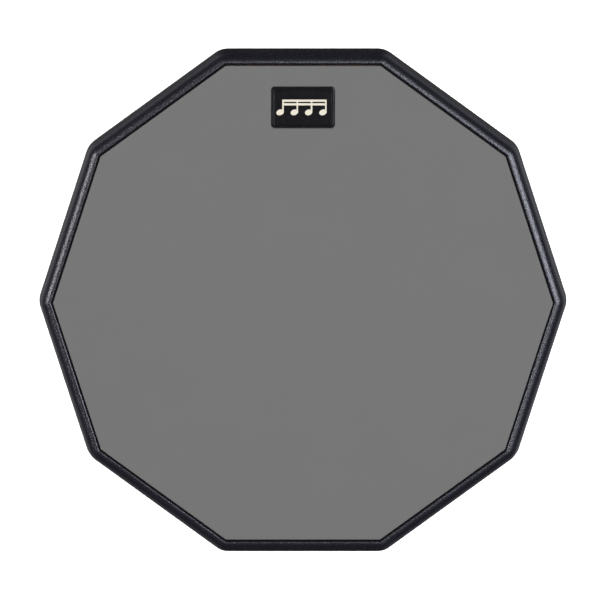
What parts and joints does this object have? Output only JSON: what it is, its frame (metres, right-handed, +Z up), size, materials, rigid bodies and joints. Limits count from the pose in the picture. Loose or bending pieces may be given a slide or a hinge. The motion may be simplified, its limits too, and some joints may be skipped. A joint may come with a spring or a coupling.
{
  "type": "drum practice pad",
  "caption": "Ten-sided drum practice pad: grey rubber playing surface in a black moulded rim, on a fibreboard core with rubber feet and a threaded stand socket underneath.",
  "frame": {"origin": "on the table, under the middle of the pad", "axes": "+Z up, out of the playing surface; +Y towards the badge, which is the far edge for the player; +X to the player's right, through a corner"},
  "size_m": [0.3192, 0.305, 0.0322],
  "materials": {
    "grey_rubber": "matte",
    "black_housing": "fine moulded grain",
    "badge_black": "satin",
    "badge_cream": "satin",
    "foam": "closed-cell foam",
    "fibreboard": "raw medium-density fibreboard",
    "zinc_steel": "zinc plated",
    "black_steel": "black oxide",
    "black_rubber": "matte"
  },
  "bodies": {
    "root": {"playing_surface": "grey_rubber", "badge_plate": "badge_black", "badge_motif": "badge_cream", "rim_frame": "black_housing", "damping_sheet": "foam", "core_board": "fibreboard", "tee_nut": "zinc_steel", "bottom_cover": "black_housing", "cover_screw_01": "black_steel", "cover_screw_02": "black_steel", "cover_screw_03": "black_steel", "cover_screw_04": "black_steel", "cover_screw_05": "black_steel", "cover_screw_06": "black_steel", "cover_screw_07": "black_steel", "cover_screw_08": "black_steel", "cover_screw_09": "black_steel", "cover_screw_10": "black_steel", "foot_1": "black_rubber", "foot_screw_1": "black_steel", "foot_2": "black_rubber", "foot_screw_2": "black_steel", "foot_3": "black_rubber", "foot_screw_3": "black_steel", "foot_4": "black_rubber", "foot_screw_4": "black_steel", "foot_5": "black_rubber", "foot_screw_5": "black_steel"}
  },
  "joints": []
}
